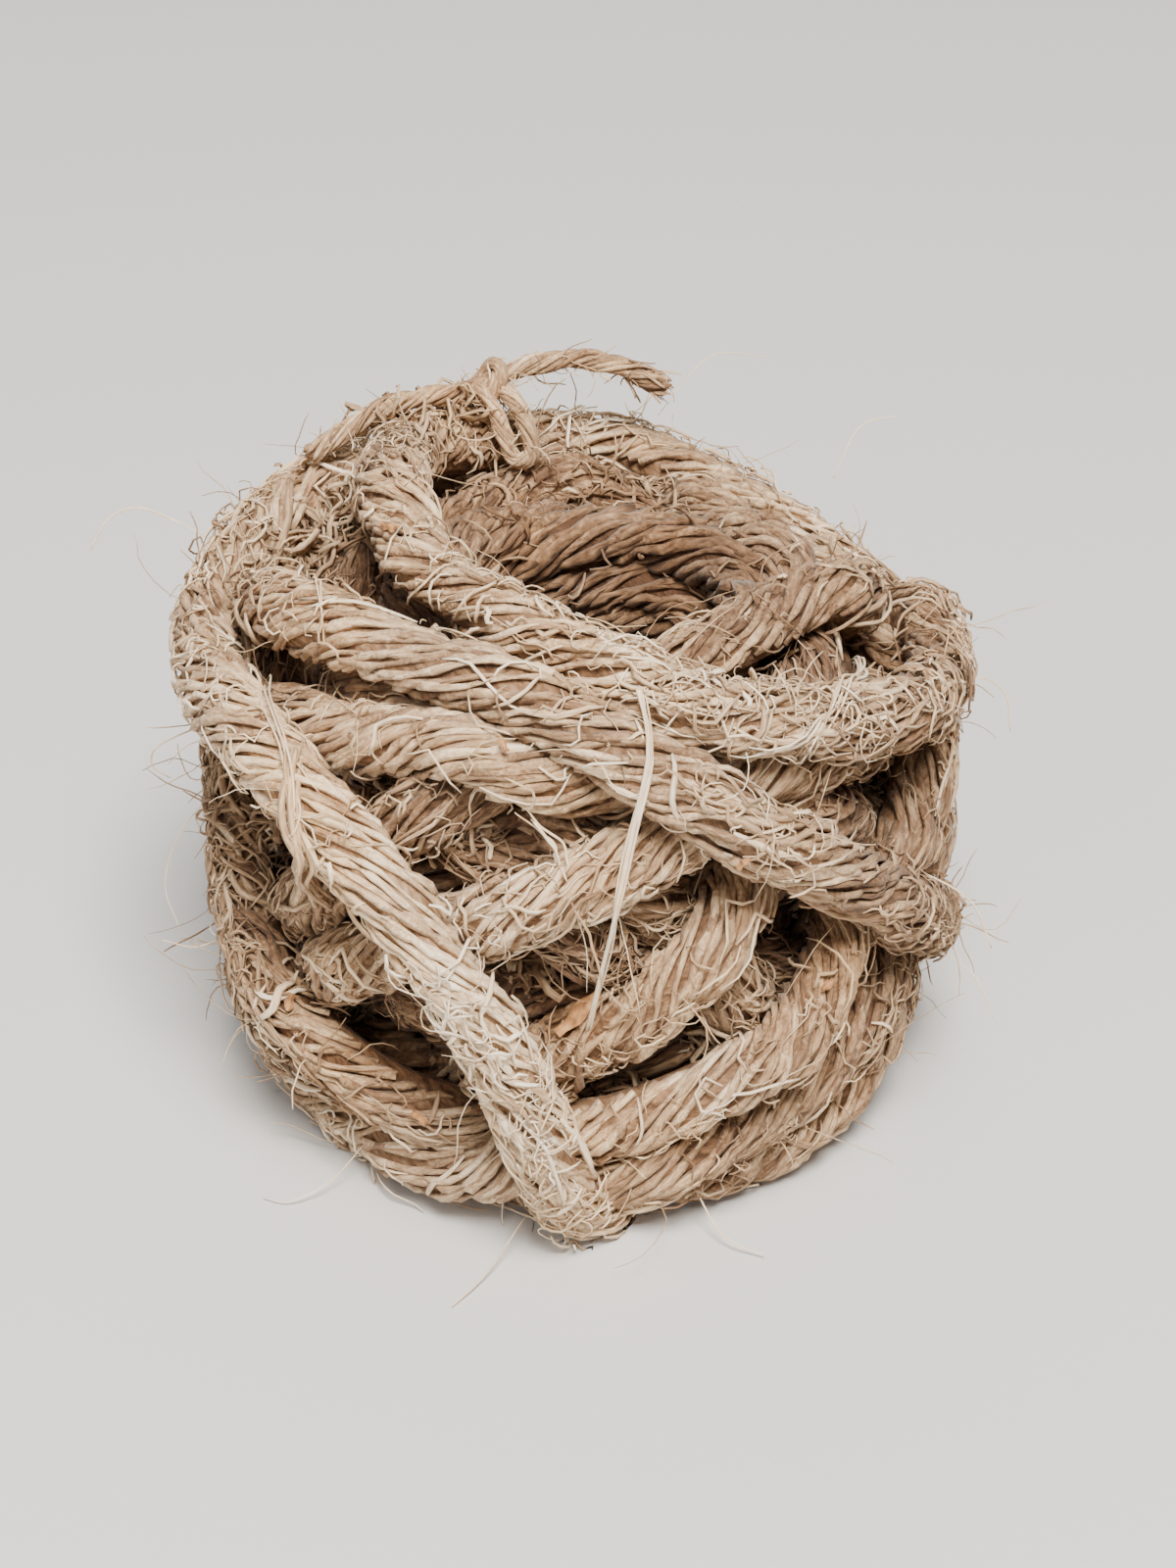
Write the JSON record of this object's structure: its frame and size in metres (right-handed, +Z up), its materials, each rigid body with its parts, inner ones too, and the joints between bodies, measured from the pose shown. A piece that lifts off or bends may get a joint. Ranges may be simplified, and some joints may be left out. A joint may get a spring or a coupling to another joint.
{
  "type": "ball of cord",
  "caption": "Loosely cross-wound, barrel-shaped ball of thick hairy jute cord with an open centre, and a thin twine tie with a free end knotted on its rim.",
  "frame": {"origin": "on the surface the ball rests on, under the middle of the ball's outline from above; the tie isn't counted", "axes": "+Z up along the open centre, -Y towards the side that the picture shows, +X to that side's right"},
  "size_m": [0.088, 0.0902, 0.0729],
  "materials": {
    "jute": "matt, hairy, undyed jute cord",
    "twine": "matt, undyed thin jute twine"
  },
  "bodies": {
    "root": {"winding": "jute", "tie": "twine"}
  },
  "joints": []
}
